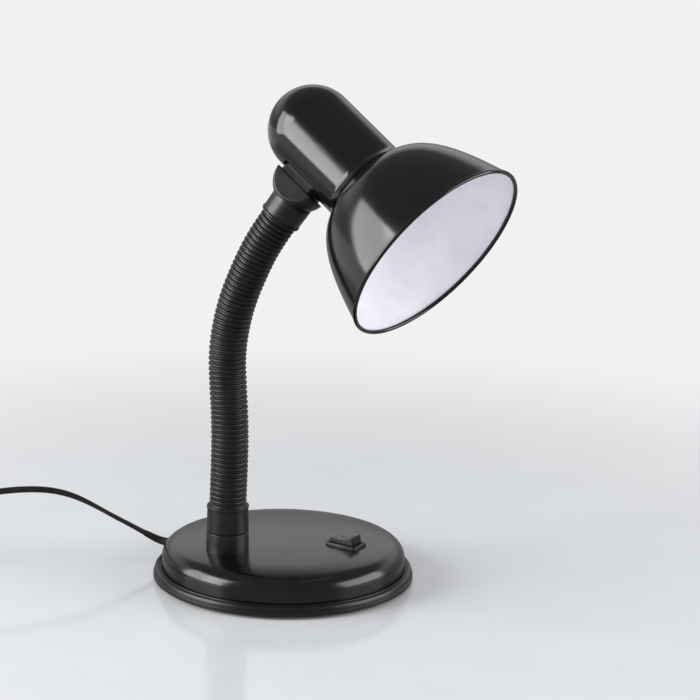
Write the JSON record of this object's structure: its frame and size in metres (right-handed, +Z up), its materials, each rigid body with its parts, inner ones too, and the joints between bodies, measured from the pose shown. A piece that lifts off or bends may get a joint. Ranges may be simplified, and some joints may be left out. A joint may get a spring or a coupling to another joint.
{
  "type": "desk lamp",
  "caption": "Desk lamp with a weighted round base, rocker switch, bendable ribbed neck, bell shade on a domed swivelling lampholder cover, and a mains cord",
  "frame": {"origin": "centre of the round base, on the table it stands on", "axes": "+Z up, +X the way the neck leans, +Y to the left of it"},
  "size_m": [0.4404, 0.1908, 0.3064],
  "materials": {
    "black_paint": "gloss",
    "black_plastic": "satin",
    "rocker_plastic": "gloss",
    "cast_weight": "matte",
    "zinc_steel": "satin",
    "pad": "matte",
    "pale_plastic": "satin",
    "cord_cover": "satin",
    "brass": "satin"
  },
  "bodies": {
    "base": {"base_cover": "black_paint", "base_plate": "black_plastic", "ballast": "cast_weight", "base_screws": "zinc_steel", "base_pad": "pad", "cord_grommet": "black_plastic", "cord_sleeve": "black_plastic", "cord_clamp": "pale_plastic", "clamp_screws": "zinc_steel", "base_wiring": "cord_cover", "switch_housing": "black_plastic", "switch_terminals": "brass", "neck_socket": "black_plastic", "neck_ferrule": "black_plastic", "neck_nipple": "zinc_steel", "nipple_nut": "zinc_steel", "nipple_washer": "zinc_steel", "neck_core_foot": "zinc_steel", "mains_cord": "cord_cover", "cord_coil": "cord_cover", "cord_tail": "cord_cover", "cord_tie": "cord_cover", "plug_body": "cord_cover", "plug_pins": "brass"},
    "neck_1": {"neck_cover_1": "black_plastic", "neck_core_1": "zinc_steel"},
    "neck_2": {"neck_cover_2": "black_plastic", "neck_core_2": "zinc_steel"},
    "neck_3": {"neck_cover_3": "black_plastic", "neck_core_3": "zinc_steel"},
    "neck_4": {"neck_cover_4": "black_plastic", "neck_core_4": "zinc_steel"},
    "neck_5": {"neck_cover_5": "black_plastic", "neck_core_5": "zinc_steel"},
    "neck_6": {"neck_cover_6": "black_plastic", "neck_core_6": "zinc_steel"},
    "neck_7": {"neck_cover_7": "black_plastic", "neck_core_7": "zinc_steel"},
    "neck_8": {"neck_cover_8": "black_plastic", "neck_core_8": "zinc_steel"},
    "neck_9": {"neck_cover_9": "black_plastic", "neck_core_9": "zinc_steel"},
    "neck_10": {"neck_cover_10": "black_plastic", "neck_core_10": "zinc_steel"},
    "neck_top": {"neck_top_fitting": "black_plastic", "neck_core_top": "zinc_steel", "swivel_tube": "zinc_steel", "swivel_spring": "zinc_steel", "swivel_nut": "zinc_steel"},
    "head": {"head_saddle": "black_plastic", "lampholder_cover": "black_paint", "seat_washer": "zinc_steel", "holder_bracket": "zinc_steel", "lampholder_body": "pale_plastic", "screw_shell": "brass", "centre_contact": "brass", "shade": "black_paint", "shade_ring": "pale_plastic", "head_wiring": "cord_cover"},
    "rocker": {"rocker": "rocker_plastic"}
  },
  "joints": [
    {"name": "neck_lower_bend_1", "type": "hinge", "parent": "base", "child": "neck_1", "pos_m": [-0.0255, -0.033, 0.0551], "axis": [0.0006, 1, 0.0008], "range_deg": [-11, 11]},
    {"name": "neck_side_bend_1", "type": "hinge", "parent": "neck_1", "child": "neck_2", "pos_m": [-0.02493, -0.033, 0.07309], "axis": [0.9997, 0, -0.0262], "range_deg": [-10, 10]},
    {"name": "neck_lower_bend_2", "type": "hinge", "parent": "neck_2", "child": "neck_3", "pos_m": [-0.02456, -0.033, 0.09109], "axis": [0.0006, 1, 0.0008], "range_deg": [-11, 11]},
    {"name": "neck_side_bend_2", "type": "hinge", "parent": "neck_3", "child": "neck_4", "pos_m": [-0.02493, -0.033, 0.10908], "axis": [0.999, 0, 0.0436], "range_deg": [-10, 10]},
    {"name": "neck_lower_bend_3", "type": "hinge", "parent": "neck_4", "child": "neck_5", "pos_m": [-0.02613, -0.033, 0.12704], "axis": [0.0006, 1, 0.0008], "range_deg": [-11, 11]},
    {"name": "neck_side_bend_3", "type": "hinge", "parent": "neck_5", "child": "neck_6", "pos_m": [-0.02697, -0.033, 0.14502], "axis": [0.9994, 0, -0.0349], "range_deg": [-10, 10]},
    {"name": "neck_upper_bend_1", "type": "hinge", "parent": "neck_6", "child": "neck_7", "pos_m": [-0.02488, -0.033, 0.1629], "axis": [0.0006, 1, 0.0008], "range_deg": [-13, 8]},
    {"name": "neck_side_bend_4", "type": "hinge", "parent": "neck_7", "child": "neck_8", "pos_m": [-0.02043, -0.033, 0.18034], "axis": [0.9508, 0, -0.3098], "range_deg": [-10, 10]},
    {"name": "neck_upper_bend_2", "type": "hinge", "parent": "neck_8", "child": "neck_9", "pos_m": [-0.01375, -0.033, 0.19706], "axis": [0.0006, 1, 0.0008], "range_deg": [-13, 8]},
    {"name": "neck_side_bend_5", "type": "hinge", "parent": "neck_9", "child": "neck_10", "pos_m": [-0.00602, -0.033, 0.21332], "axis": [0.8712, 0, -0.4909], "range_deg": [-10, 10]},
    {"name": "neck_upper_bend_3", "type": "hinge", "parent": "neck_10", "child": "neck_top", "pos_m": [0.00388, -0.033, 0.22834], "axis": [0.0006, 1, 0.0008], "range_deg": [-13, 8]},
    {"name": "head_swivel", "type": "hinge", "parent": "neck_top", "child": "head", "pos_m": [0.01612, -0.03238, 0.24913], "axis": [0.6399, 0.2638, 0.7218], "range_deg": [-120, 180]},
    {"name": "rocker_tip", "type": "hinge", "parent": "base", "child": "rocker", "pos_m": [0.04051, -0.0031, 0.02597], "axis": [0.2586, 0.9659, -0.0097], "range_deg": [0, 24]}
  ],
  "couplings": [
    {"joint": "neck_lower_bend_2", "follows": "neck_lower_bend_1", "ratio": 1},
    {"joint": "neck_side_bend_2", "follows": "neck_side_bend_1", "ratio": 1},
    {"joint": "neck_lower_bend_3", "follows": "neck_lower_bend_1", "ratio": 1},
    {"joint": "neck_side_bend_3", "follows": "neck_side_bend_1", "ratio": 1},
    {"joint": "neck_side_bend_4", "follows": "neck_side_bend_1", "ratio": 1},
    {"joint": "neck_upper_bend_2", "follows": "neck_upper_bend_1", "ratio": 1},
    {"joint": "neck_side_bend_5", "follows": "neck_side_bend_1", "ratio": 1},
    {"joint": "neck_upper_bend_3", "follows": "neck_upper_bend_1", "ratio": 1}
  ]
}
